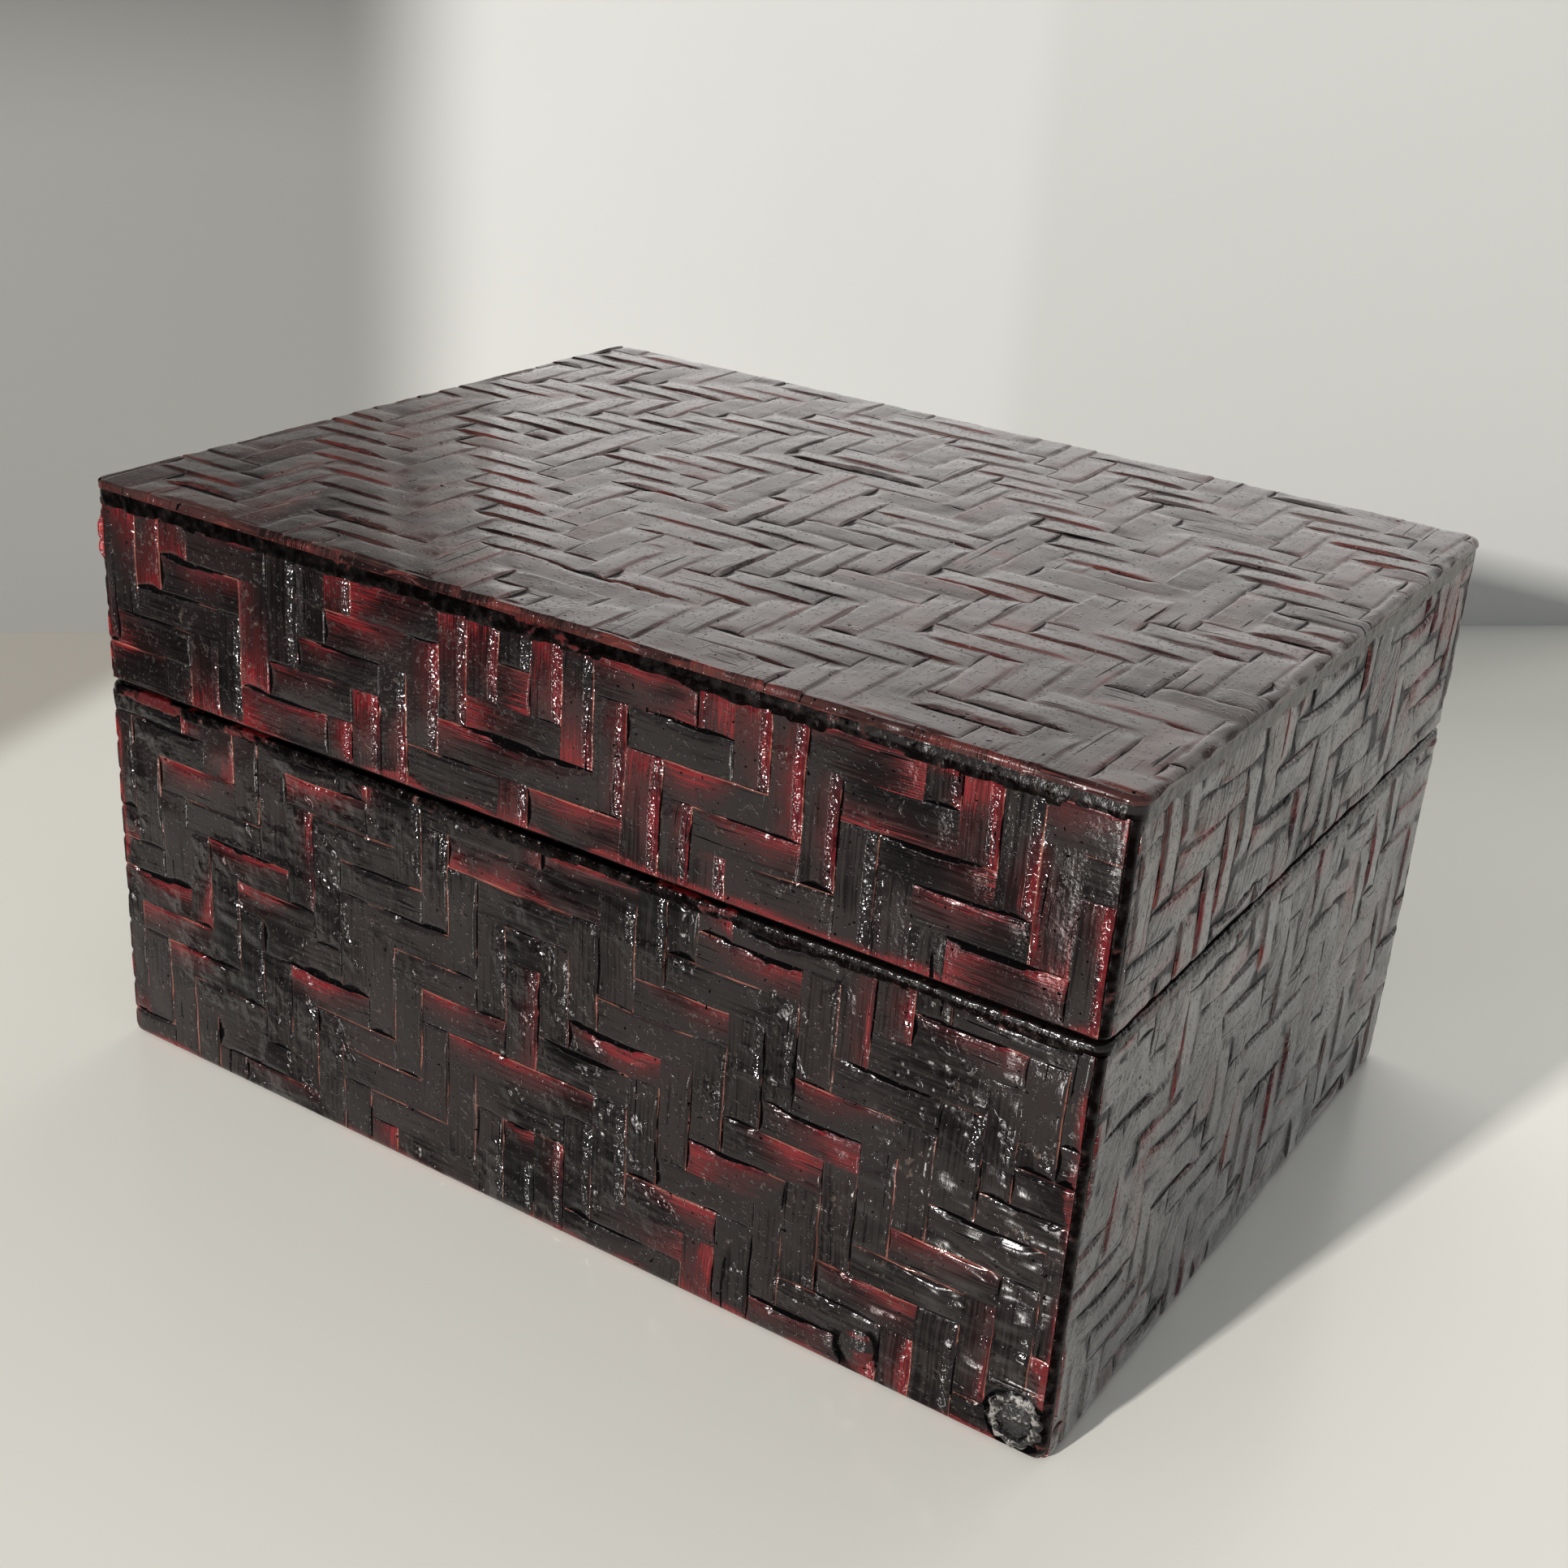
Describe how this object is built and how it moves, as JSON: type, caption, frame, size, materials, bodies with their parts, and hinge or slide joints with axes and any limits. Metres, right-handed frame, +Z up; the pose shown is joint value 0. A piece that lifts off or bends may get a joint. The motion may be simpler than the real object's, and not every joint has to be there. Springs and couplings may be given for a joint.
{
  "type": "lacquered bamboo box",
  "caption": "Rectangular storage box with a lift-off lid that seats over an inner collar, its top and sides covered in twill-woven bamboo strips under dark red and black lacquer.",
  "frame": {"origin": "centre of the footprint, on the surface the box stands on", "axes": "+Z up, +X along the long side, the front faces -Y"},
  "size_m": [0.2, 0.152, 0.112],
  "materials": {
    "woven_bamboo": "glossy black and red lacquer over split bamboo",
    "black_trim": "rough glossy black lacquer",
    "lacquered_board": "satin black lacquer",
    "bamboo_peg": "bare bamboo"
  },
  "bodies": {
    "base": {"base_bottom_board": "lacquered_board", "base_front_board": "lacquered_board", "base_back_board": "lacquered_board", "base_left_board": "lacquered_board", "base_right_board": "lacquered_board", "base_front_weave": "woven_bamboo", "base_back_weave": "woven_bamboo", "base_left_weave": "woven_bamboo", "base_right_weave": "woven_bamboo", "base_rim_strip_front": "black_trim", "base_rim_strip_back": "black_trim", "base_rim_strip_left": "black_trim", "base_rim_strip_right": "black_trim", "base_corner_strip_front_left": "black_trim", "base_corner_strip_front_right": "black_trim", "base_corner_strip_back_right": "black_trim", "base_corner_strip_back_left": "black_trim", "base_lip_front": "lacquered_board", "base_lip_back": "lacquered_board", "base_lip_left": "lacquered_board", "base_lip_right": "lacquered_board", "front_peg_1": "bamboo_peg", "front_peg_2": "bamboo_peg", "front_peg_3": "bamboo_peg", "front_peg_4": "bamboo_peg", "back_peg_1": "bamboo_peg", "back_peg_2": "bamboo_peg", "back_peg_3": "bamboo_peg", "back_peg_4": "bamboo_peg"},
    "lid": {"lid_top_board": "lacquered_board", "lid_front_board": "lacquered_board", "lid_back_board": "lacquered_board", "lid_left_board": "lacquered_board", "lid_right_board": "lacquered_board", "lid_top_weave": "woven_bamboo", "lid_front_weave": "woven_bamboo", "lid_back_weave": "woven_bamboo", "lid_left_weave": "woven_bamboo", "lid_right_weave": "woven_bamboo", "lid_edge_strip_front": "black_trim", "lid_edge_strip_back": "black_trim", "lid_edge_strip_left": "black_trim", "lid_edge_strip_right": "black_trim", "lid_rim_strip_front": "black_trim", "lid_rim_strip_back": "black_trim", "lid_rim_strip_left": "black_trim", "lid_rim_strip_right": "black_trim", "lid_corner_strip_front_left": "black_trim", "lid_corner_strip_front_right": "black_trim", "lid_corner_strip_back_right": "black_trim", "lid_corner_strip_back_left": "black_trim"}
  },
  "joints": [
    {"name": "lid_lift", "type": "slide", "parent": "base", "child": "lid", "axis": [0, 0, 1], "range_m": [0, 0.04]}
  ]
}
